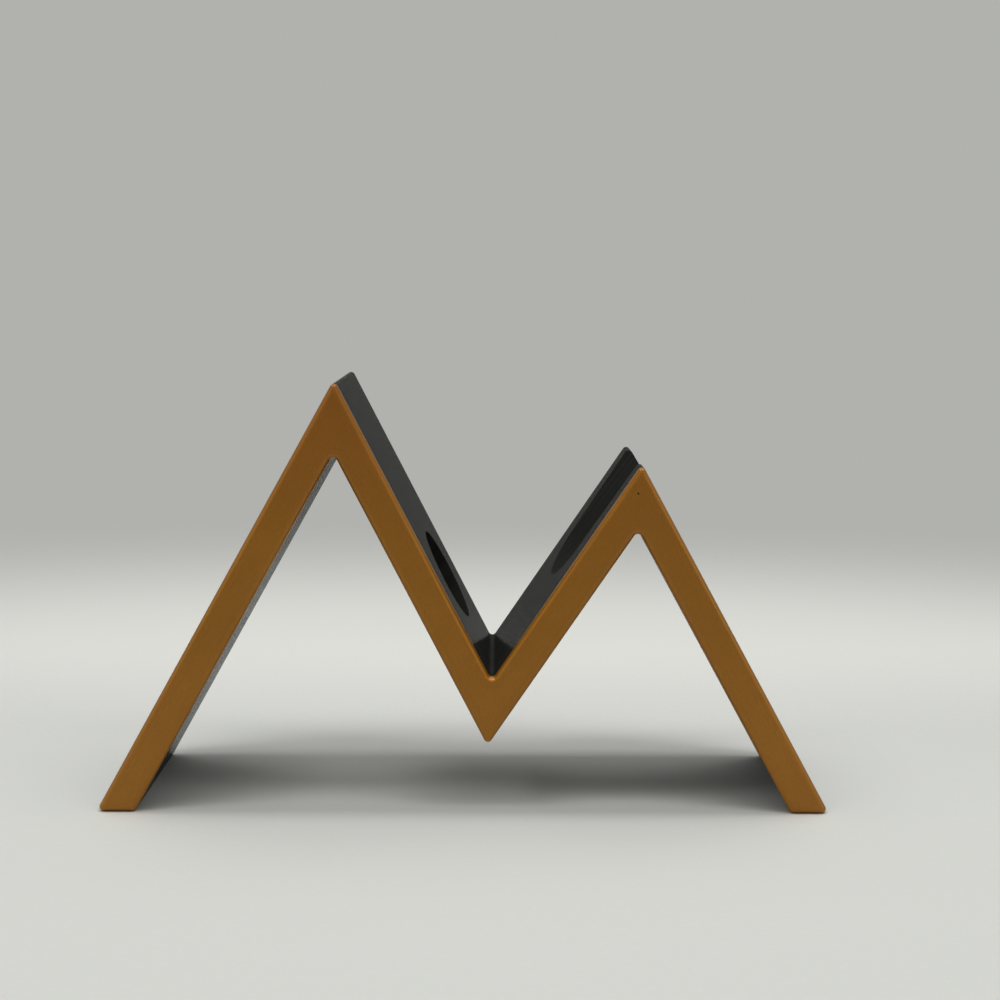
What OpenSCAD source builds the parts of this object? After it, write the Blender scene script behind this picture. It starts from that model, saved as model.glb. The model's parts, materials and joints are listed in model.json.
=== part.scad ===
// Wine bottle holder: one thick strip that zigzags like a line of mountains, printed as one piece.
// It stands on two feet and rises to a tall left peak, drops to a valley and rises to a lower right peak.
// The bottle lies upside down at a slant. Its neck goes down through a hole in the second leg, and its
// barrel lies in a cradle that is scooped out of the third leg and of the right peak.
// The frame's origin is on the table, in the middle of the length and of the depth.
// +X runs along the length to the right, +Z is up, and the coloured face looks towards -Y.

/* [Outline of the strip] */
// Length between the outer toes of the feet, with their corners taken as sharp
foot_span = 284; // [270:1:320]
// Place of the left peak along the length, from the left toe
left_peak_x = 94; // [84:1:104]
// Height of the left peak, with its corner taken as sharp
left_peak_h = 167.4; // [155:0.2:190]
// Place of the valley's upper side along the length, from the left toe
valley_x = 152.9; // [148:0.1:158]
// Height of the valley's upper side
valley_h = 52.3; // [46:0.1:58]
// Place of the right peak along the length, from the left toe
right_peak_x = 209; // [203:1:215]
// Height of the right peak, with its corner taken as sharp
right_peak_h = 136.2; // [130:0.2:144]
// Thickness of the strip, square to its faces
wall = 13.1; // [12:0.1:16]
// Depth of the whole holder, from the front face to the back face
depth = 70; // [60:1:100]
// Radius of the strip's corners, inside and outside
corner_r = 1.6; // [1.5:0.1:3]

/* [Coloured front face] */
// Thickness of the coloured layer on the front
face_t = 3; // [2.8:0.1:6]
// Radius of the rounded edge that runs round the front face
edge_r = 2.5; // [1:0.1:2.6]

/* [Neck hole] */
// Diameter of the neck and its closure
neck_d = 30; // [26:0.5:33]
// Room all round the neck in its hole
neck_clearance = 2.2; // [0.5:0.1:4]
// Distance from the left peak down the second leg to the middle of the hole
neck_down = 90; // [86:1:94]

/* [Cradle for the barrel] */
// Diameter of the bottle's barrel
barrel_d = 75; // [72:0.5:77]
// Depth of the cradle where it crosses the right peak
cradle_depth = 8; // [5:0.5:9]
// Distance along the bottle from the neck hole to where its barrel begins
shoulder_along = 43.2; // [43:0.2:56]

/* [Hidden] */

black = [0.09, 0.09, 0.10];
bronze = [0.62, 0.41, 0.17];

// Fineness of the round holes, of each corner's arc and of the rounded front edge
$fn = 96;
corner_steps = 8;
edge_steps = 6;

// Radius that is left of a corner's arc where the coloured layer is drawn in by more than the arc
tip_r = 0.2;

// Plane geometry in the outline's plane, where a point is [length, height]
function unit(a, b) = (b - a) / norm(b - a);
function below(u) = [u[1], -u[0]];
function cross2(u, v) = u[0] * v[1] - u[1] * v[0];
function dot2(u, v) = u[0] * v[0] + u[1] * v[1];
function heading(u) = atan2(u[1], u[0]);
function meet(p, u, q, v) = p + u * cross2(q - p, v) / cross2(u, v);

// The strip's upper side, from the left toe over both peaks to the right toe
upper = [
    [0, 0],
    [left_peak_x, left_peak_h],
    [valley_x, valley_h],
    [right_peak_x, right_peak_h],
    [foot_span, 0]
];
legs = len(upper) - 1;
leg_way = [for (i = [0 : legs - 1]) unit(upper[i], upper[i + 1])];
leg_under = [for (i = [0 : legs - 1]) upper[i] + wall * below(leg_way[i])];

// The strip's lower side is the upper side moved in by the wall, and cut off level at the table
table_way = [1, 0];
lower = [
    for (i = [0 : legs])
        i == 0 ? meet(leg_under[0], leg_way[0], [0, 0], table_way)
        : i == legs ? meet(leg_under[legs - 1], leg_way[legs - 1], [0, 0], table_way)
        : meet(leg_under[i - 1], leg_way[i - 1], leg_under[i], leg_way[i])
];
sharp = concat(upper, [for (i = [legs : -1 : 0]) lower[i]]);
corners = len(sharp);

// The outline runs clockwise, so its solid side lies to the right of the way that it runs
function corner_at(i) = sharp[(i + corners) % corners];
function way_in(i) = unit(corner_at(i - 1), corner_at(i));
function way_out(i) = unit(corner_at(i), corner_at(i + 1));
function is_outer(i) = cross2(way_in(i), way_out(i)) < 0;

// Middle of the arc that rounds a corner, as far on the solid side of both its edges as aside says
function arc_middle(i, aside) =
    meet(
        corner_at(i) + aside * below(way_in(i)), way_in(i),
        corner_at(i) + aside * below(way_out(i)), way_out(i)
    );

// The turn from one edge to the next, in degrees between -180 and 180
function turn(i) = atan2(cross2(way_in(i), way_out(i)), dot2(way_in(i), way_out(i)));

// The rounded outline, moved in from its edges by inset: an inner arc, which bends the other way,
// grows, and an outer arc shrinks until only its tip is left
function arc_reach(i, inset) = is_outer(i) ? max(corner_r - inset, tip_r) : -corner_r - inset;
function outline(inset) = [
    for (i = [0 : corners - 1], k = [0 : corner_steps])
        let (
            outward = heading(way_in(i)) + 90 + turn(i) * k / corner_steps,
            reach = arc_reach(i, inset)
        )
        arc_middle(i, inset + reach) + reach * [cos(outward), sin(outward)]
];

// The rounded toes end a little inside the sharp ones, and the origin is midway between them
function toe_setback(slope) = corner_r * (1 / tan(slope / 2) - 1);
left_toe = toe_setback(heading(leg_way[0]));
right_toe = foot_span - toe_setback(-heading(leg_way[legs - 1]));
middle_x = (left_toe + right_toe) / 2;

// The bottle's axis goes through the neck hole and passes over the right peak at the barrel's
// radius less the cradle's depth
bore_r = neck_d / 2 + neck_clearance;
barrel_r = barrel_d / 2;
hole = upper[1] + neck_down * leg_way[1];
hole_to_peak = upper[3] - hole;
over_peak = barrel_r - cradle_depth;
axis_slope = heading(hole_to_peak) + asin(over_peak / norm(hole_to_peak));
axis_way = [cos(axis_slope), sin(axis_slope)];
peak_along = dot2(hole_to_peak, axis_way);

// Where the slanted hole meets the second leg's two faces, measured along the bottle's axis
crossing = axis_slope - heading(leg_way[1]);
hole_slant = bore_r / abs(tan(crossing));
hole_length = wall / sin(crossing);
clear_air = 2;

// Turns a shape that was drawn upright so that its own axis becomes the bottle's axis
module on_bottle_axis() {
    translate([hole[0] - middle_x, 0, hole[1]])
        rotate([0, 90 - axis_slope, 0])
            children();
}

// The slanted round hole for the neck, through the second leg. Its wall starts at the side, which the
// slant of the leg's faces leaves at its full length.
module neck_hole() {
    on_bottle_axis()
        translate([0, 0, -hole_length - hole_slant - clear_air])
            rotate([0, 0, 90])
                cylinder(h = hole_length + 2 * (hole_slant + clear_air), r = bore_r);
}

// The space for the bottle's round shoulder and barrel, which scoops the cradle
module barrel_space() {
    on_bottle_axis() {
        translate([0, 0, shoulder_along])
            sphere(r = barrel_r);
        translate([0, 0, shoulder_along])
            cylinder(h = peak_along - shoulder_along + wall, r = barrel_r);
    }
}

// The strip's own form, from the back face up to the coloured layer
module strip() {
    translate([-middle_x, depth / 2, 0])
        rotate([90, 0, 0])
            linear_extrude(depth - face_t)
                polygon(outline(0));
}

module body() {
    color(black)
        difference() {
            strip();
            neck_hole();
            barrel_space();
        }
}

// The coloured layer: the same outline, drawn in towards the front along a quarter circle.
// Each ring of points is [distance behind the front face, inset from the outline].
rings = concat(
    [[face_t, 0]],
    [for (k = [0 : edge_steps]) let (a = 90 * k / edge_steps) [edge_r * (1 - sin(a)), edge_r * (1 - cos(a))]]
);

// The layer's flat faces are pieces that each fan out from one of their own corners: the two arcs of
// every foot, peak and valley make one piece, and every leg between them makes another
arc_points = corner_steps + 1;
function arc(c) = [for (k = [0 : corner_steps]) c * arc_points + k];
function facing(i) = corners - 1 - i;
function starting_at(list, s) = [for (k = [0 : len(list) - 1]) list[(s + k) % len(list)]];
function bend_piece(i) = starting_at(
    concat(arc(i), arc(facing(i))),
    floor(corner_steps / 2) + (is_outer(i) ? 0 : arc_points)
);
function leg_piece(i) = [
    arc(i)[corner_steps], arc(i + 1)[0], arc(facing(i + 1))[corner_steps], arc(facing(i))[0]
];
flat_pieces = concat(
    [for (i = [0 : legs]) bend_piece(i)],
    [for (i = [0 : legs - 1]) leg_piece(i)]
);

module front_face() {
    n = corners * arc_points;
    last = len(rings) - 1;
    points = [
        for (ring = rings, p = outline(ring[1]))
            [p[0] - middle_x, ring[0] - depth / 2, p[1]]
    ];
    sides = [
        for (r = [0 : last - 1], i = [0 : n - 1])
            let (j = (i + 1) % n)
            [r * n + i, (r + 1) * n + i, (r + 1) * n + j, r * n + j]
    ];
    front = [for (piece = flat_pieces) [for (k = [len(piece) - 1 : -1 : 0]) last * n + piece[k]]];
    color(bronze)
        polyhedron(points, concat(sides, flat_pieces, front), convexity = 8);
}

body();
front_face();
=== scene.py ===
# %% [markdown]
# # A zigzag holder, printed in two colours
#
# The real holder is one thick strip that zigzags like a line of mountains. It was printed lying on
# its back, in layers a fifth of a millimetre thick: black first, and the last layers in bronze.
# This lesson dresses its packed solids. The sizes stay those of the solids, and each form is made
# again with finer arcs, so that the edges catch the light as the print's do.

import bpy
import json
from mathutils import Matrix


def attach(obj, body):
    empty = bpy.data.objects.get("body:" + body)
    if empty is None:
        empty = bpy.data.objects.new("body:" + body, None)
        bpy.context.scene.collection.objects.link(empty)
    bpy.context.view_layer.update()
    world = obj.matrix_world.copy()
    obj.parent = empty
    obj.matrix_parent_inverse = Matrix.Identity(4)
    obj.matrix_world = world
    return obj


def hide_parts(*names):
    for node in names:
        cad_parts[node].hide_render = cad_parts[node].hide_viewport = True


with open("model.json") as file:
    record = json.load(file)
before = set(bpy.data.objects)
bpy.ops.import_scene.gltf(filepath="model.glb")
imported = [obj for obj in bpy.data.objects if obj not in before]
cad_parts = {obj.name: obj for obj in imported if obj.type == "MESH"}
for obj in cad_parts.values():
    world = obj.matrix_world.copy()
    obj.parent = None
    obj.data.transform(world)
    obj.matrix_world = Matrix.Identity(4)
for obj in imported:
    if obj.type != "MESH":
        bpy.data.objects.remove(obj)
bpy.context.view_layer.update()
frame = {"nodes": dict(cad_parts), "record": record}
record = frame["record"]


def short(values):
    """The values with few enough digits to read."""
    return [round(v, 4) for v in values]


# %% Tools of the trade
import json
import math

import bmesh
import bpy
from mathutils import Matrix, Vector

MM = 0.001
scene = bpy.context.scene
print("lengths are in metres, and a millimetre is", MM)

# %% [markdown]
# ## The camera
#
# The view is from the front, about 58 cm away and a little above the holder, looking slightly
# down. A camera could be placed by eye, but the strip's straight edges give its place
# exactly: eight edges and ten corners were compared with their real sizes until all of them agreed.
# The values below are that answer, in millimetres and degrees.

# %% Where the camera looks
CAMERA_AT = Vector((11.6, -582.1, 206.8)) * MM
LOOKS_DOWN = math.radians(8.743)
TURNS_RIGHT = math.radians(0.229)
LEANS = math.radians(0.263)


def camera_axes():
    """Right, up and forward of the camera as unit vectors."""
    forward = Vector((
        math.sin(TURNS_RIGHT) * math.cos(LOOKS_DOWN),
        math.cos(TURNS_RIGHT) * math.cos(LOOKS_DOWN),
        -math.sin(LOOKS_DOWN),
    ))
    level = Vector((math.cos(TURNS_RIGHT), -math.sin(TURNS_RIGHT), 0.0))
    upright = level.cross(forward)
    right = math.cos(LEANS) * level + math.sin(LEANS) * upright
    up = math.cos(LEANS) * upright - math.sin(LEANS) * level
    return right, up, forward


print("the camera looks along", short(camera_axes()[2]))

# %% Place the camera
FOCAL_PIXELS = 1480.0
PICTURE_PIXELS = 1000.0
SENSOR_MM = 36.0
SEES_FROM = 0.05
SEES_TO = 50.0


def place_camera():
    """Makes the scene's camera: its own right, up and back are the columns of its turn."""
    right, up, forward = camera_axes()
    data = bpy.data.cameras.new("photo_camera")
    data.sensor_width = SENSOR_MM
    data.lens = SENSOR_MM * FOCAL_PIXELS / PICTURE_PIXELS
    data.clip_start = SEES_FROM
    data.clip_end = SEES_TO
    camera = bpy.data.objects.new("photo_camera", data)
    scene.collection.objects.link(camera)
    turn = Matrix((right, up, -forward)).transposed()
    camera.matrix_world = Matrix.Translation(CAMERA_AT) @ turn.to_4x4()
    scene.camera = camera


place_camera()
print("lens", round(scene.camera.data.lens, 2), "mm")

# %% [markdown]
# ## The strip's outline
#
# Everything follows from five corners on the strip's upper side and one wall thickness. The lower
# side is the upper side moved in by the wall, and every corner is rounded by the same small radius.
# A bevel on a sharp outline would do nearly the same, but worked-out arcs let the same function
# draw the outline again further in, which the rounded front edge and its printed lines need.

# %% Sizes of the strip, in millimetres
UPPER_CORNERS = [(0, 0), (94, 167.4), (152.9, 52.3), (209, 136.2), (284, 0)]
WALL = 13.1
DEPTH = 70.0
CORNER_RADIUS = 1.6
print("a strip", WALL, "mm thick and", DEPTH, "mm deep")

# %% Corners of both sides


def unit(a, b):
    """The way from a to b, with a length of one."""
    return (b - a).normalized()


def to_the_right(way):
    return Vector((way.y, -way.x))


def cross(a, b):
    """Above zero where b turns to the left of a, and below zero where it turns to the right."""
    return a.x * b.y - a.y * b.x


def meet(p, way_p, q, way_q):
    """Where two lines in the outline's plane cross."""
    return p + way_p * (cross(q - p, way_q) / cross(way_p, way_q))


def sharp_corners():
    """The ten corners before rounding, clockwise from the left toe, in millimetres."""
    upper = [Vector(c) for c in UPPER_CORNERS]
    ways = [unit(a, b) for a, b in zip(upper, upper[1:])]
    under = [p + WALL * to_the_right(w) for p, w in zip(upper, ways)]
    table = Vector((1, 0))
    lower = [meet(under[0], ways[0], Vector((0, 0)), table)]
    for i in range(1, len(ways)):
        lower.append(meet(under[i - 1], ways[i - 1], under[i], ways[i]))
    lower.append(meet(under[-1], ways[-1], Vector((0, 0)), table))
    return upper + lower[::-1]


CORNERS = sharp_corners()
print(len(CORNERS), "corners")

# %% The rounded outline, at any distance in from the edge
ARC_STEPS = 12
TIP_RADIUS = 1.0


def outline(inset):
    """Points of the outline moved in by inset: ARC_STEPS + 1 points for each corner, in millimetres.

    An inner arc grows as the outline moves in. An outer arc shrinks, down to TIP_RADIUS.
    """
    points = []
    count = len(CORNERS)
    for i, corner in enumerate(CORNERS):
        way_in = unit(CORNERS[i - 1], corner)
        way_out = unit(corner, CORNERS[(i + 1) % count])
        outer = cross(way_in, way_out) < 0
        radius = max(CORNER_RADIUS - inset, TIP_RADIUS) if outer else -CORNER_RADIUS - inset
        setback = inset + radius
        middle = meet(
            corner + setback * to_the_right(way_in), way_in,
            corner + setback * to_the_right(way_out), way_out,
        )
        start = math.atan2(way_in.y, way_in.x) + math.pi / 2
        turn = math.atan2(cross(way_in, way_out), way_in.dot(way_out))
        for k in range(ARC_STEPS + 1):
            angle = start + turn * k / ARC_STEPS
            points.append(middle + radius * Vector((math.cos(angle), math.sin(angle))))
    return points


edge_x = [p.x for p in outline(0.0)]
MIDDLE_X = (min(edge_x) + max(edge_x)) / 2
print("length", round(max(edge_x) - min(edge_x), 2), "mm")

# %% [markdown]
# ## A skin from rings
#
# Both pieces are lofts: the same outline drawn at several depths, each time a little further in or
# out, and joined ring to ring. The flat ends are closed across the strip, where every point of the
# upper side has its partner on the lower side. An extrusion with a bevel modifier would be quicker,
# but rings let every point keep the distance to the strip's edge as an attribute, and the bronze
# finish uses that distance to lay the printed lines beside the edge.

# %% From the outline to the frame
FRONT_Y = -DEPTH / 2


def in_frame(point, behind_front):
    """A point of the outline, that far behind the front face, in the frame's metres."""
    return Vector((point.x - MIDDLE_X, FRONT_Y + behind_front, point.y)) * MM


def as_object(bm, name):
    """Ends the work on a mesh and puts it into the scene."""
    mesh = bpy.data.meshes.new(name)
    bm.to_mesh(mesh)
    bm.free()
    piece = bpy.data.objects.new(name, mesh)
    scene.collection.objects.link(piece)
    return piece


print("the front face lies", -FRONT_Y, "mm in front of the origin")

# %% Loft a piece from rings
WELD = 0.0005


def loft(name, rings):
    """A closed mesh from rings of (millimetres behind the front, millimetres in from the edge)."""
    bm = bmesh.new()
    layer = bm.verts.layers.float.new("edge_distance")
    grid = []
    for behind, inset in rings:
        row = []
        for point in outline(inset):
            vert = bm.verts.new(in_frame(point, behind))
            vert[layer] = inset
            row.append(vert)
        grid.append(row)
    count = len(grid[0])
    for near, far in zip(grid, grid[1:]):
        for i in range(count):
            j = (i + 1) % count
            bm.faces.new((near[i], far[i], far[j], near[j]))
    for row in (grid[0], grid[-1]):
        for i in range(count // 2 - 1):
            bm.faces.new((row[i], row[i + 1], row[count - 2 - i], row[count - 1 - i]))
    bmesh.ops.remove_doubles(bm, verts=bm.verts, dist=WELD * MM)
    bmesh.ops.recalc_face_normals(bm, faces=bm.faces)
    return as_object(bm, name)


print("every ring has", len(outline(0.0)), "points")

# %% [markdown]
# ## The bronze front
#
# The last three millimetres of the print are bronze, fifteen layers of it. Each layer is drawn in a
# little more than the one below, so the front edge is a quarter circle with a fine notch between
# layers. A smooth round would be less work, but the notches are real geometry here, because they
# catch light along every edge. Most layers also get a ring half-way between their two notches. The
# first one is narrower than a notch and has no room for it.

# %% Rings of the rounded edge, one layer at a time
BRONZE_DEPTH = 3.0
FRONT_RADIUS = 2.5
LAYER = 0.2
NOTCH_DEPTH = 0.015
NOTCH_HALF = math.radians(1.5)
LAST_STEPS = 4


def on_round(angle, sink=0.0):
    """A ring on the quarter circle: 0 is its side, 90 degrees its front."""
    reach = FRONT_RADIUS - sink
    return (FRONT_RADIUS - reach * math.sin(angle), FRONT_RADIUS - reach * math.cos(angle))


def rounded_rings():
    """From the side of the strip to the front face, where the last layer is drawn in steps."""
    rings = [(BRONZE_DEPTH, 0.0), on_round(0.0)]
    layers = int(FRONT_RADIUS / LAYER)
    border = 0.0
    for k in range(layers, 0, -1):
        last = border
        border = math.asin(1 - LAYER * k / FRONT_RADIUS)
        if border - last > 2 * NOTCH_HALF:
            rings.append(on_round((last + border) / 2))
        rings.append(on_round(border - NOTCH_HALF))
        rings.append(on_round(border, NOTCH_DEPTH))
        rings.append(on_round(border + NOTCH_HALF))
    for step in range(1, LAST_STEPS + 1):
        rings.append(on_round(border + (math.pi / 2 - border) * step / LAST_STEPS))
    return rings


print(len(rounded_rings()), "rings round the edge")

# %% [markdown]
# ### Beads on the flat face
#
# On the flat face the nozzle ran two lines beside the edge and then filled the middle, so two low
# beads follow the edge there, with a groove on the inner side of each. They could be a bump in the
# finish, but grooves as wide as these show their own shade. The much finer filling lines are left
# to the finish, and for them one last ring lies near the strip's middle: up to it the distance to
# the edge goes on growing, and the lines can fade with it. Further in than this, the ring would
# cross itself at the feet.

# %% Rings of the beads, and the bronze piece
BEAD_WIDTH = 0.46
BEAD_COUNT = 2
GROOVE_DEPTH = 0.05
GROOVE_HALF = 0.12
MIDDLE_INSET = 5.4


def bead_rings():
    rings = []
    for bead in range(1, BEAD_COUNT + 1):
        border = FRONT_RADIUS + bead * BEAD_WIDTH
        rings.append((0.0, border - GROOVE_HALF))
        rings.append((GROOVE_DEPTH, border))
        rings.append((0.0, border + GROOVE_HALF))
    rings.append((0.0, MIDDLE_INSET))
    return rings


bronze_face = loft("bronze_face", rounded_rings() + bead_rings())
FILL_STARTS = FRONT_RADIUS + BEAD_COUNT * BEAD_WIDTH + GROOVE_HALF
print("bronze_face:", len(bronze_face.data.polygons), "faces")
print("filled from", round(FILL_STARTS, 2), "mm in")

# %% [markdown]
# ## The black body
#
# Behind the bronze the strip is plain black down to its back, which lay on the print bed. There
# its edge is eased by a small chamfer, as a first layer is kept from spreading. A plain extrusion
# would do for the rest, but the same loft gives it the bronze piece's arcs, so that the two meet
# point to point. One more ring on each flat end keeps the faces beside the edge even.

# %% Loft the body
BACK_CHAMFER = 0.35
BACK_BORDER = 2.2
HIDDEN_BORDER = 4.4


def body_rings():
    return [
        (BRONZE_DEPTH, HIDDEN_BORDER),
        (BRONZE_DEPTH, 0.0),
        (DEPTH - BACK_CHAMFER, 0.0),
        (DEPTH, BACK_CHAMFER),
        (DEPTH, BACK_BORDER),
    ]


black_body = loft("black_body", body_rings())
print("black_body before cutting:", len(black_body.data.polygons), "faces")

# %% [markdown]
# ## The hole and the cradle
#
# One slanted axis gives both. A round hole goes through the second leg, and a round scoop with a
# ball end is cut out of the third leg and over the right peak. What the holder carries lies in the
# two together. Both are cut with a boolean, because the scoop crosses flat legs and a rounded peak,
# and no grid of hand-made faces would follow all of them. The axis and the hole's radius come from
# the record.

# %% The slanted axis
HOLE_DOWN = 90.0

hole_mount = next(m for m in record["mounts"] if m["name"] == "neck_bore")
hole_radius = hole_mount["dims"]["r_mm"]
axis = Vector(hole_mount["axis"]).normalized()
second_leg = unit(CORNERS[1], CORNERS[2])
hole_mouth = in_frame(CORNERS[1] + HOLE_DOWN * second_leg, DEPTH / 2)
print("hole mouth", short(hole_mouth), "radius", hole_radius, "mm, axis", short(axis))

# %% A cutter, turned about the axis as on a lathe
CUTTER_SIDES = 160


def turned_on_axis(name, profile):
    """A closed solid of revolution about the slanted axis, from (along, radius) in millimetres."""
    side = Vector((0, 1, 0))
    other = axis.cross(side)
    bm = bmesh.new()
    rows = []
    for along, radius in profile:
        centre = hole_mouth + axis * along * MM
        if radius == 0:
            rows.append([bm.verts.new(centre)])
            continue
        row = []
        for k in range(CUTTER_SIDES):
            angle = 2 * math.pi * k / CUTTER_SIDES
            outward = math.cos(angle) * side + math.sin(angle) * other
            row.append(bm.verts.new(centre + radius * MM * outward))
        rows.append(row)
    for near, far in zip(rows, rows[1:]):
        for k in range(CUTTER_SIDES):
            j = (k + 1) % CUTTER_SIDES
            ring = [near[k % len(near)], near[j % len(near)], far[j % len(far)], far[k % len(far)]]
            bm.faces.new(list(dict.fromkeys(ring)))
    bmesh.ops.recalc_face_normals(bm, faces=bm.faces)
    return as_object(bm, name)


print("the cutters have", CUTTER_SIDES, "sides")

# %% Profiles of the hole and of the cradle, in millimetres along the axis from the hole's mouth
HOLE_FROM = -38.7
HOLE_TO = 12.5
CRADLE_RADIUS = 37.5
BALL_AT = 43.2
BALL_STEPS = 40
CRADLE_TO = 130.7


def hole_profile():
    return [(HOLE_FROM, 0), (HOLE_FROM, hole_radius), (HOLE_TO, hole_radius), (HOLE_TO, 0)]


def cradle_profile():
    """A quarter circle from the ball's pole to its rim, and then straight on."""
    points = [(BALL_AT - CRADLE_RADIUS, 0)]
    for k in range(1, BALL_STEPS + 1):
        angle = math.pi / 2 * k / BALL_STEPS
        points.append((
            BALL_AT - CRADLE_RADIUS * math.cos(angle),
            CRADLE_RADIUS * math.sin(angle),
        ))
    return points + [(CRADLE_TO, CRADLE_RADIUS), (CRADLE_TO, 0)]


cutters = [
    turned_on_axis("hole_cutter", hole_profile()),
    turned_on_axis("cradle_cutter", cradle_profile()),
]
print("cutters:", ", ".join(cutter.name for cutter in cutters))

# %% Cut them out of the body


def cut(piece, cutter):
    """Takes the cutter's space away from the piece, and the cutter out of the scene."""
    step = piece.modifiers.new("cut", "BOOLEAN")
    step.operation = "DIFFERENCE"
    step.solver = "EXACT"
    step.object = cutter
    bpy.context.view_layer.update()
    evaluated = piece.evaluated_get(bpy.context.evaluated_depsgraph_get())
    mesh = bpy.data.meshes.new_from_object(evaluated)
    mesh.name = piece.data.name
    piece.modifiers.clear()
    piece.data = mesh
    bpy.data.objects.remove(cutter)


for cutter in cutters:
    cut(black_body, cutter)
print("black_body after cutting:", len(black_body.data.polygons), "faces")

# %% [markdown]
# ### Soft rims
#
# A printed rim is never knife-sharp: the nozzle rounds it by about a bead's half width. The rims
# are the edges between a cut face and an uncut one. They could be picked by hand, but here each
# face is sorted by its distance from the two cutters, and only those edges get a small bevel.

# %% How far a point lies from the cut surfaces


def off_cutter(point):
    """The distance to the nearer of the two cut surfaces, in millimetres."""
    from_mouth = (point - hole_mouth) / MM
    along = from_mouth.dot(axis)
    radius = (from_mouth - along * axis).length
    before_ball = min(along - BALL_AT, 0.0)
    to_cradle = abs(math.hypot(before_ball, radius) - CRADLE_RADIUS)
    to_hole = abs(radius - hole_radius)
    return min(to_cradle, to_hole) if along < HOLE_TO else to_cradle


print("the hole's mouth is", round(off_cutter(hole_mouth), 2), "mm from the cradle's ball")

# %% Find the rims and ease them
RIM_RADIUS = 0.22
RIM_STEPS = 2
ROUND_PROFILE = 0.5
ON_CUTTER = 0.05
CUT_WELD = 0.002


def ease_rims(piece):
    """Bevels the edges between cut and uncut faces, and says how many there are."""
    bm = bmesh.new()
    bm.from_mesh(piece.data)
    bmesh.ops.remove_doubles(bm, verts=bm.verts, dist=CUT_WELD * MM)
    cut_face = {f: off_cutter(f.calc_center_median()) < ON_CUTTER for f in bm.faces}
    rims = [
        e for e in bm.edges
        if len(e.link_faces) == 2 and cut_face[e.link_faces[0]] != cut_face[e.link_faces[1]]
    ]
    bmesh.ops.bevel(
        bm, geom=rims, offset=RIM_RADIUS * MM, offset_type="OFFSET", segments=RIM_STEPS,
        profile=ROUND_PROFILE, affect="EDGES", clamp_overlap=True,
    )
    bm.to_mesh(piece.data)
    bm.free()
    return len(rims)


print("rim edges eased:", ease_rims(black_body))

# %% [markdown]
# ### Smooth arcs, flat legs
#
# The arcs should shade as arcs and the legs as planes. Smooth shading alone would bend the light
# over the big flat faces, so normals are weighted by face area, and edges over 30 degrees stay
# sharp.

# %% Set the shading of both pieces
SHARP_FROM = 30
LARGE_FACES_LEAD = 100


def shade(piece):
    for polygon in piece.data.polygons:
        polygon.use_smooth = True
    piece.data.set_sharp_from_angle(angle=math.radians(SHARP_FROM))
    weighted = piece.modifiers.new("flat legs, smooth arcs", "WEIGHTED_NORMAL")
    weighted.keep_sharp = True
    weighted.weight = LARGE_FACES_LEAD


for piece in (bronze_face, black_body):
    shade(piece)
    print(piece.name, "is smooth up to", SHARP_FROM, "degrees")

# %% [markdown]
# ## Finishes
#
# Both colours are the same kind of plastic, laid down as soft beads. What the eye reads is the
# direction of those beads: layers run along the legs' sides, and filling lines run steeply over
# the bronze face. Nodes could be wired one by one, but a few small helpers keep each finish short:
# every one adds a node and returns the socket that carries its result.

# %% A tree of nodes
# The sockets that a Mix node uses for colours, by their number
FACTOR = 0
FIRST_COLOUR = 6
SECOND_COLOUR = 7
MIXED_COLOUR = 2


class Nodes:
    """A node tree under construction, and short ways to add to it."""

    def __init__(self, tree):
        self.nodes = tree.nodes
        self.links = tree.links

    def add(self, kind, **settings):
        node = self.nodes.new("ShaderNode" + kind)
        for name, value in settings.items():
            setattr(node, name, value)
        return node

    def put(self, socket, value):
        """Links a node's result to a socket, or sets a plain value on it."""
        if isinstance(value, bpy.types.NodeSocket):
            self.links.new(value, socket)
        else:
            socket.default_value = value

    def math(self, operation, *values, clamp=False):
        node = self.add("Math", operation=operation, use_clamp=clamp)
        for socket, value in zip(node.inputs, values):
            self.put(socket, value)
        return node.outputs["Value"]

    def mixed(self, factor, colour_a, colour_b):
        node = self.add("Mix", data_type="RGBA")
        self.put(node.inputs[FACTOR], factor)
        self.put(node.inputs[FIRST_COLOUR], colour_a)
        self.put(node.inputs[SECOND_COLOUR], colour_b)
        return node.outputs[MIXED_COLOUR]


print("helpers:", ", ".join(name for name in vars(Nodes) if name[0] != "_"))

# %% A material, placed on its piece


class Dressing(Nodes):
    """A material under construction, with the places on its piece in metres."""

    def __init__(self, name):
        self.material = bpy.data.materials.new(name)
        self.material.use_nodes = True
        super().__init__(self.material.node_tree)
        self.shader = self.nodes["Principled BSDF"]
        self.place = self.add("TexCoord").outputs["Object"]

    def give(self, name, value):
        self.put(self.shader.inputs[name], value)

    def vector(self, operation, other=(0.0, 0.0, 0.0)):
        """Works the place of a point together with another vector."""
        node = self.add("VectorMath", operation=operation)
        self.put(node.inputs[0], self.place)
        self.put(node.inputs[1], other)
        return node

    def along(self, direction):
        """How far a point lies along a direction."""
        return self.vector("DOT_PRODUCT", direction).outputs["Value"]


print("helpers:", ", ".join(name for name in vars(Dressing) if name[0] != "_"))

# %% Patterns and relief
MOST_NOISE = (0.3, 0.7)


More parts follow.
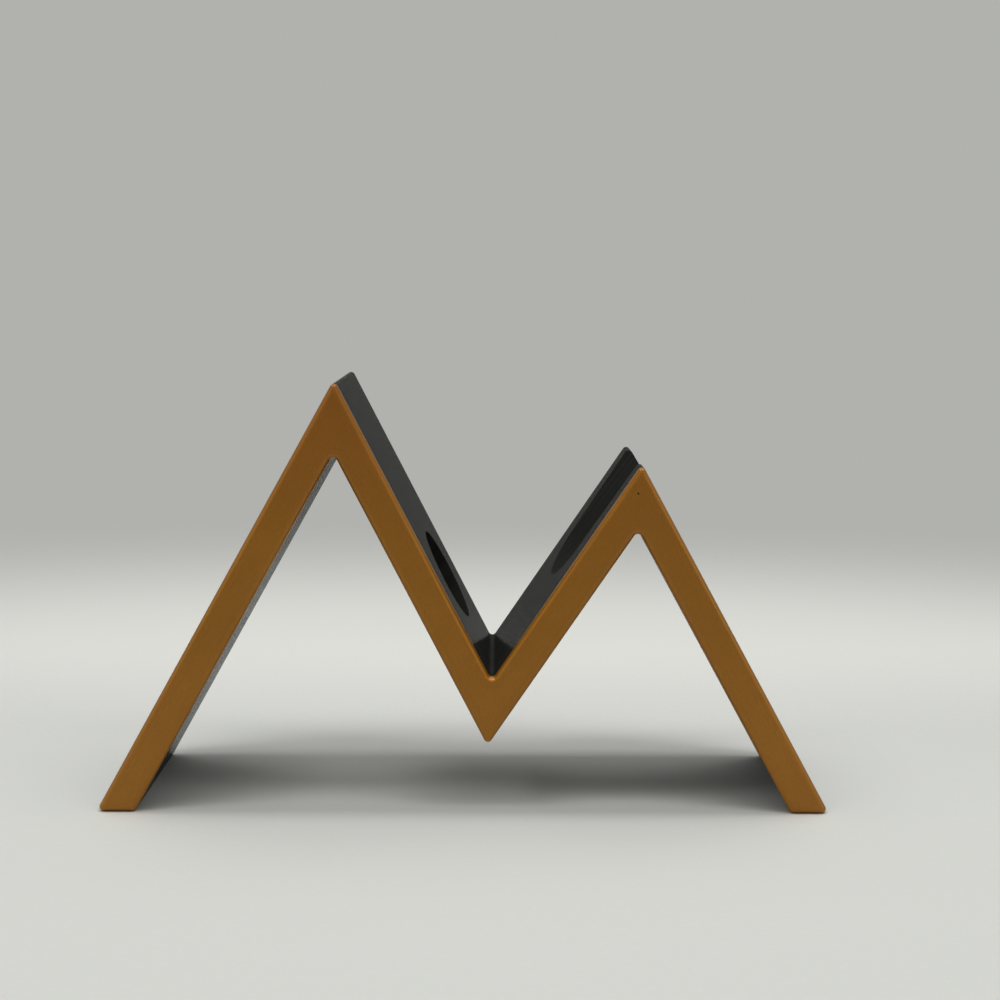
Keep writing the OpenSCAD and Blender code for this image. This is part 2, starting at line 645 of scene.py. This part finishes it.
class Finish(Dressing):
    """A material with patterns in its colour and gloss, and relief in its surface."""

    def between(self, value, low, high, out_low=0.0, out_high=1.0):
        """Maps low to high onto out_low to out_high, softly, and holds it there outside."""
        node = self.add("MapRange", interpolation_type="SMOOTHSTEP")
        for socket, given in zip(node.inputs, (value, low, high, out_low, out_high)):
            self.put(socket, given)
        return node.outputs["Result"]

    def noise(self, scale, detail=2.0, roughness=0.5, place=None):
        """Noise with that many bumps to a metre."""
        node = self.add("TexNoise")
        self.put(node.inputs["Vector"], place or self.place)
        self.put(node.inputs["Scale"], scale)
        self.put(node.inputs["Detail"], detail)
        self.put(node.inputs["Roughness"], roughness)
        return node.outputs["Fac"]

    def uneven(self, scale, low=0.0, high=1.0, within=MOST_NOISE, detail=2.0, roughness=0.5):
        """Noise that is spread from low to high."""
        return self.between(self.noise(scale, detail, roughness), *within, low, high)

    def waves(self, distance, period):
        """A sine from -1 to 1 along a distance in metres, with a period in millimetres."""
        return self.math("SINE", self.math("MULTIPLY", distance, 2 * math.pi / (period * MM)))

    def bump(self, height, distance_mm, strength=1.0, below=None):
        """Raises the surface by a height from 0 to 1, on top of another bump's normal."""
        node = self.add("Bump")
        self.put(node.inputs["Strength"], strength)
        self.put(node.inputs["Distance"], distance_mm * MM)
        self.put(node.inputs["Height"], height)
        if below is not None:
            self.put(node.inputs["Normal"], below)
        return node.outputs["Normal"]


print("helpers:", ", ".join(name for name in vars(Finish) if name[0] != "_"))

# %% [markdown]
# ### Bronze print
#
# A silky brown-gold plastic with a soft sheen. On the flat face, pairs of filling lines run up to
# the left, fifteen degrees from upright. The printer lays each line the opposite way to the one
# before, so every second line shines a little more, and that pair is what the eye sees. The lines
# could be geometry too, but they are far too fine for it. They show best in places and beside the
# edge, so slow noise and the distance to the edge fade them.

# %% Filling lines of the bronze face
FILL_LEAN = math.radians(15)
FILL_ACROSS = (math.cos(FILL_LEAN), 0.0, math.sin(FILL_LEAN))
FILL_FADES_IN = 0.1
FILL_IN_MIDDLE = 0.6
FILL_PATCHES = dict(scale=14.0, low=0.55, high=1.0, within=(0.36, 0.64), detail=1.0)
# How much lighter every second filling line is: painted sheen on the real line pattern
FILL_PAINTED_SHEEN = 0.28
WANDER_SCALE = 40.0
WANDER = 0.4
MIDDLE_OF_NOISE = 0.5


def edge_distance(f):
    """The distance to the strip's edge that the loft kept, in millimetres."""
    return f.add("Attribute", attribute_name="edge_distance").outputs["Fac"]


def filling(f, inward):
    """The lines as a change of tone, partly painted sheen, and the beads that they are made of as a
    height.
    """
    either_way = f.math("SUBTRACT", f.noise(WANDER_SCALE), MIDDLE_OF_NOISE)
    wander = f.math("MULTIPLY", either_way, WANDER * MM)
    across = f.math("ADD", f.along(FILL_ACROSS), wander)
    filled = f.between(inward, FILL_STARTS, FILL_STARTS + FILL_FADES_IN)
    fading = f.between(inward, FILL_STARTS, MIDDLE_INSET, 1.0, FILL_IN_MIDDLE)
    shown = f.math("MULTIPLY", filled, f.math("MULTIPLY", f.uneven(**FILL_PATCHES), fading))
    pairs = f.waves(across, 2 * BEAD_WIDTH)
    # painted sheen: every second filling line is lighter in colour
    lines = f.math("MULTIPLY", pairs, f.math("MULTIPLY", shown, FILL_PAINTED_SHEEN))
    beads = f.math("MULTIPLY", f.waves(across, BEAD_WIDTH), filled)
    return lines, beads


print("a pair of filling lines every", 2 * BEAD_WIDTH, "mm")

# %% [markdown]
# The colour of the print is never even. Wide clouds and fine flecks change it a little, a lighter
# line about a millimetre in from the edge is a painted highlight, and towards the tall peak the
# bronze is darkened by painted shade. Near the right peak the nozzle left one small pit, and its
# dark colour is painted shade. A flat colour would look like paint, so all of these are mixed into
# one tone, from the dark bronze (0) to the light one (1).

# %% Colours of the bronze
BRONZE_DARK = (0.245, 0.094, 0.0022, 1.0)
BRONZE_LIGHT = (0.435, 0.169, 0.0046, 1.0)
# painted shade: the darker, redder bronze that the colour turns towards near the tall peak
BRONZE_PAINTED_SHADE = (0.303, 0.095, 0.003, 1.0)
BRONZE_TONE = 0.58
BRONZE_CLOUDS = dict(
    scale=26.0, low=-0.09, high=0.09, within=(0.25, 0.75), detail=4.0, roughness=0.6,
)
BRONZE_FLECKS = dict(scale=1000.0, low=-0.08, high=0.08, roughness=0.6)
# A painted highlight: a lighter line beside the edge, between these distances in millimetres
PAINTED_HIGHLIGHT_STARTS = (0.35, 0.75)
PAINTED_HIGHLIGHT_ENDS = (1.05, 1.6)
PAINTED_HIGHLIGHT = 0.20
PAINTED_SHADE_FROM = 0.10
PAINTED_SHADE_TO = 0.165
PAINTED_SHADE_BY = 0.5
UP = (0.0, 0.0, 1.0)


def bronze_colour(f, inward, lines):
    uneven = f.math("ADD", f.uneven(**BRONZE_CLOUDS), f.uneven(**BRONZE_FLECKS))
    # painted highlight: a lighter line about a millimetre in from the edge
    starts = f.between(inward, *PAINTED_HIGHLIGHT_STARTS)
    ends = f.between(inward, *PAINTED_HIGHLIGHT_ENDS, 1.0, 0.0)
    rim = f.math("MULTIPLY", starts, ends)
    tone = f.math("ADD", f.math("ADD", uneven, BRONZE_TONE), lines)
    tone = f.math("MULTIPLY_ADD", rim, PAINTED_HIGHLIGHT, tone, clamp=True)
    colour = f.mixed(tone, BRONZE_DARK, BRONZE_LIGHT)
    # painted shade: the bronze darkens with height towards the tall peak
    painted_shade = f.between(f.along(UP), PAINTED_SHADE_FROM, PAINTED_SHADE_TO, 0.0, PAINTED_SHADE_BY)
    return f.mixed(painted_shade, colour, BRONZE_PAINTED_SHADE)


print("the bronze deepens from", PAINTED_SHADE_FROM, "m to", PAINTED_SHADE_TO, "m up")

# %% The small pit near the right peak
PIT_AT = (0.0655, FRONT_Y * MM, 0.1252)
PIT_RADII = (0.252, 0.504)
# painted shade: the dark colour inside the small pit
PIT_PAINTED_SHADE = (0.012, 0.004, 0.001, 1.0)
PIT_DEPTH = 0.15


def pit_spot(f):
    """1 within the pit, falling to 0 at its rim."""
    away = f.vector("DISTANCE", PIT_AT).outputs["Value"]
    return f.between(away, PIT_RADII[0] * MM, PIT_RADII[1] * MM, 1.0, 0.0)


print("a pit", 2 * PIT_RADII[1], "mm across")

# %% Mix the bronze finish
BRONZE_METAL = 0.35
BRONZE_SPECULAR = 0.5
BRONZE_SHEEN = dict(scale=60.0, low=0.31, high=0.36)
LINES_SHINE = -0.3
BRONZE_LAYERS = 0.006
BRONZE_BEADS = 0.008
BRONZE_GRAIN_SCALE = 2200.0
BRONZE_GRAIN = dict(distance_mm=0.004, strength=0.5)
ROUND_FADES = (0.9 * FRONT_RADIUS, FRONT_RADIUS)
BACKWARD = (0.0, 1.0, 0.0)


def bronze_finish():
    f = Finish("bronze_print")
    inward = edge_distance(f)
    lines, beads = filling(f, inward)
    pit = pit_spot(f)
    # painted shade darkens the colour inside the pit
    f.give("Base Color", f.mixed(pit, bronze_colour(f, inward, lines), PIT_PAINTED_SHADE))
    sheen = f.math("MULTIPLY_ADD", lines, LINES_SHINE, f.uneven(**BRONZE_SHEEN))
    f.give("Roughness", f.math("MAXIMUM", sheen, pit))
    f.give("Metallic", BRONZE_METAL)
    f.give("Specular IOR Level", BRONZE_SPECULAR)
    on_the_round = f.between(inward, *ROUND_FADES, 1.0, 0.0)
    layers = f.math("MULTIPLY", f.waves(f.along(BACKWARD), LAYER), on_the_round)
    relief = f.bump(layers, BRONZE_LAYERS)
    relief = f.bump(beads, BRONZE_BEADS, below=relief)
    relief = f.bump(f.noise(BRONZE_GRAIN_SCALE), **BRONZE_GRAIN, below=relief)
    relief = f.bump(f.math("MULTIPLY", pit, -1.0), PIT_DEPTH, below=relief)
    f.give("Normal", relief)
    return f.material


bronze_print = bronze_finish()
print("bronze_print:", len(bronze_print.node_tree.nodes), "nodes")

# %% [markdown]
# ### Black print
#
# The black is the same plastic without the shimmer. Its layers stack through the depth, so fine
# lines run along every leg, round every corner and over the scooped cradle, always at the same
# depth. No two layers are quite alike: noise that is stretched along the layers makes each of
# them, and each band of several, a shade lighter or darker. The back face is the first layer. It
# was pressed against the print bed, which left it speckled and a little paler.

# %% Shades of the black layers
BLACK_DARK = (0.0175, 0.0176, 0.0164, 1.0)
BLACK_LIGHT = (0.0295, 0.0296, 0.0275, 1.0)
EACH_LAYER = dict(scale=14.0, layers=1.7, detail=2.0)
EACH_BAND = dict(scale=9.0, layers=6, detail=3.0)
LAYER_SHARE = 0.6
BAND_SHARE = 0.4


def layered(f, scale, layers, detail):
    """Noise that changes over that many layers, and slowly along them."""
    node = f.vector("MULTIPLY", (scale, 1.0 / (layers * LAYER * MM), scale))
    return f.noise(1.0, detail, place=node.outputs["Vector"])


def side_colour(f, each):
    bands = f.math("MULTIPLY", layered(f, **EACH_BAND), BAND_SHARE)
    tone = f.math("MULTIPLY_ADD", each, LAYER_SHARE, bands)
    return f.mixed(f.between(tone, *MOST_NOISE), BLACK_DARK, BLACK_LIGHT)


print("bands of about", EACH_BAND["layers"], "layers")

# %% Speckle of the first layer, on the back face
BED_DARK = (0.030, 0.030, 0.0285, 1.0)
BED_LIGHT = (0.052, 0.052, 0.0495, 1.0)
BED_STARTS = DEPTH / 2 - 2 * LAYER
BED_IS_FULL = DEPTH / 2 - 0.5 * LAYER
BED_SPECKLE = dict(scale=1700.0, within=(0.35, 0.65), detail=3.0, roughness=0.6)


def first_layer(f, through):
    """Where the first layer is, from 0 to 1, and its speckle."""
    on_bed = f.between(through, BED_STARTS * MM, BED_IS_FULL * MM)
    return on_bed, f.uneven(**BED_SPECKLE)


print("the speckle starts", round(BED_STARTS, 2), "mm behind the middle")

# %% [markdown]
# The black's gloss is unusual. Seen at a slant the sides are dull, because the ridges of the layers
# hide each other, and at a very flat look they shine like a mirror. More roughness would dull
# both. An index of refraction just above 1 does what the ridges do: it reflects nearly nothing
# until the look is very flat. Fine grooves also draw a reflection out across themselves, so the
# shader's tangent runs along the layers, round the depth axis, and is given a quarter turn.

# %% Mix the black finish
BLACK_IOR = 1.016
BLACK_ROUGHNESS = (0.075, 0.12)
BRUSHED = 0.5
QUARTER_TURN = 0.25
BLACK_LAYERS = 0.012
BLACK_UNEVEN_LAYERS = dict(distance_mm=0.012, strength=0.5)
BLACK_GRAIN_SCALE = 1100.0
BLACK_GRAIN = dict(distance_mm=0.005, strength=0.4)
SPECKLE_RELIEF = dict(distance_mm=0.03, strength=0.6)


def black_finish():
    f = Finish("black_print")
    through = f.along(BACKWARD)
    each = layered(f, **EACH_LAYER)
    on_bed, speckle = first_layer(f, through)
    bed_colour = f.mixed(speckle, BED_DARK, BED_LIGHT)
    f.give("Base Color", f.mixed(on_bed, side_colour(f, each), bed_colour))
    f.give("Roughness", f.between(each, *MOST_NOISE, *BLACK_ROUGHNESS))
    f.give("IOR", BLACK_IOR)
    f.give("Anisotropic", BRUSHED)
    f.give("Anisotropic Rotation", QUARTER_TURN)
    f.give("Tangent", f.add("Tangent", direction_type="RADIAL", axis="Y").outputs["Tangent"])
    relief = f.bump(f.waves(through, LAYER), BLACK_LAYERS)
    relief = f.bump(each, **BLACK_UNEVEN_LAYERS, below=relief)
    relief = f.bump(f.noise(BLACK_GRAIN_SCALE), **BLACK_GRAIN, below=relief)
    relief = f.bump(f.math("MULTIPLY", speckle, on_bed), **SPECKLE_RELIEF, below=relief)
    f.give("Normal", relief)
    return f.material


black_print = black_finish()
print("black_print:", len(black_print.node_tree.nodes), "nodes")

# %% [markdown]
# ### Dress the solids
#
# Each new piece stands for one packed solid: it rides on the same body and replaces the solid's
# node.
# The solid could keep its plain colour behind it, but it gets the same finish, so that both look
# alike wherever the part is used again.

# %% Give each piece its finish
PIECES = [
    (black_body, "body", "black_print", black_print),
    (bronze_face, "front_face", "bronze_print", bronze_print),
]
for piece, node, slot, finish in PIECES:
    piece.data.materials.clear()
    piece.data.materials.append(finish)
    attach(piece, "root")
    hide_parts(node)
    frame["nodes"][node].data.materials.clear()
    frame["nodes"][node].data.materials.append(finish)
    print(piece.name, "stands for", node)

# %% [markdown]
# ## The studio
#
# For its picture the holder stands on a pale sheet. One that sweeps up behind it could be
# modelled, but it would hide the holder from behind. Here the sheet is a flat floor that fades away
# with distance and lets the plain grey world show, so every side has the same quiet background and
# no horizon line. Towards the back it gets paler, which is painted light, where a real sheet would
# begin to rise into the light, and it still takes the holder's shadow. It lies a hair under the
# feet, so that the two surfaces stay apart, and it vanishes from below, so that the underside can
# be seen.

# %% Finish of the floor
FLOOR_NEAR = (0.775, 0.785, 0.742, 1.0)
# painted light: the paler floor colour towards the back
FLOOR_PAINTED_LIGHT = (0.93, 0.935, 0.885, 1.0)
PAINTED_LIGHT_FROM = 0.05
PAINTED_LIGHT_TO = 0.24
FADE_SQUEEZE = (0.6, 1.0, 1.0)
FADES_FROM = 0.29
FADES_TO = 0.68
FLOOR_GRAIN = dict(scale=420.0, low=-0.06, high=0.06, detail=3.0)
FLOOR_ROUGHNESS = 0.85
FLOOR_SPECULAR = 0.2


def floor_alpha(f):
    """1 round the holder, 0 far away, and 0 wherever the floor is seen from below."""
    length = f.add("VectorMath", operation="LENGTH")
    f.put(length.inputs[0], f.vector("MULTIPLY", FADE_SQUEEZE).outputs["Vector"])
    fade = f.between(length.outputs["Value"], FADES_FROM, FADES_TO, 1.0, 0.0)
    from_above = f.math("SUBTRACT", 1.0, f.add("NewGeometry").outputs["Backfacing"])
    return f.math("MULTIPLY", fade, from_above)


def floor_finish():
    f = Finish("pale_sheet")
    # painted light: paler towards the back, plus a random grain
    back = f.between(f.along(BACKWARD), PAINTED_LIGHT_FROM, PAINTED_LIGHT_TO)
    paler = f.math("ADD", back, f.uneven(**FLOOR_GRAIN))
    f.give("Base Color", f.mixed(paler, FLOOR_NEAR, FLOOR_PAINTED_LIGHT))
    f.give("Alpha", floor_alpha(f))
    f.give("Roughness", FLOOR_ROUGHNESS)
    f.give("Specular IOR Level", FLOOR_SPECULAR)
    return f.material


pale_sheet = floor_finish()
print("pale_sheet:", len(pale_sheet.node_tree.nodes), "nodes")

# %% Lay the floor
FLOOR_SIZE = 6.0
FLOOR_GAP = 0.05


def lay_floor():
    bm = bmesh.new()
    bmesh.ops.create_grid(bm, x_segments=1, y_segments=1, size=FLOOR_SIZE / 2)
    floor = as_object(bm, "floor")
    floor.location.z = -FLOOR_GAP * MM
    floor.data.materials.append(pale_sheet)


lay_floor()
print("a floor of", FLOOR_SIZE, "m,", FLOOR_GAP, "mm under the feet")

# %% [markdown]
# ### The grey world
#
# The world is the background and a light at once. As a light it has to be weak, or the shadow
# under the holder would fill in, but as a background it has to be a middling grey. One colour can't
# be both, so the kind of ray decides: the camera sees the background's grey, and so do glossy and
# see-through finishes, which should show the same. All other rays get the weak light.

# %% Paint the world
BACKGROUND_GREY = (0.44, 0.445, 0.42, 1.0)
WORLD_LIGHT = (0.10, 0.10, 0.098, 1.0)


def grey_world():
    world = bpy.data.worlds.new("grey_studio")
    world.use_nodes = True
    scene.world = world
    w = Nodes(world.node_tree)
    rays = w.add("LightPath").outputs
    seen = rays["Is Camera Ray"]
    for kind in ("Is Glossy Ray", "Is Transmission Ray"):
        seen = w.math("MAXIMUM", seen, rays[kind])
    colour = w.mixed(seen, WORLD_LIGHT, BACKGROUND_GREY)
    w.put(w.nodes["Background"].inputs["Color"], colour)


grey_world()
print("world:", scene.world.name)

# %% [markdown]
# ### Five soft lights
#
# The shadow under the holder has two steps on each side, so two long lights hang above it: one
# overhead, and one in front that also lights the face. A wide light behind them brightens the
# sheet. One large light would be simpler, but it would melt the steps into one. A low box on each
# side reaches what the others miss: the rounded edge, which stands out as a bright line along the
# upper side of every leg.

# %% Hang the lights
AIMED_AT = Vector((0.0, 0.0, 0.07))
LIGHTS = [
    # name, place, size, watts
    ("strip_overhead", (0.0, 0.0, 1.05), (1.60, 0.14), 3.7),
    ("strip_in_front", (0.0, -0.30, 1.05), (1.60, 0.16), 5.3),
    ("wide_behind", (0.0, 0.36, 1.05), (1.60, 0.50), 2.6),
    ("box_on_the_left", (-0.90, -0.35, 0.33), (0.60, 0.50), 0.52),
    ("box_on_the_right", (0.90, -0.35, 0.33), (0.60, 0.50), 0.60),
]


def hang_light(name, place, size, watts):
    data = bpy.data.lights.new(name, "AREA")
    data.shape = "RECTANGLE"
    data.size, data.size_y = size
    data.energy = watts
    light = bpy.data.objects.new(name, data)
    light.location = place
    light.rotation_euler = (AIMED_AT - Vector(place)).to_track_quat("-Z", "Y").to_euler()
    light.visible_camera = False
    scene.collection.objects.link(light)


for values in LIGHTS:
    hang_light(*values)
scene.view_settings.view_transform = "Standard"
print(len(LIGHTS), "lights")

# %% [markdown]
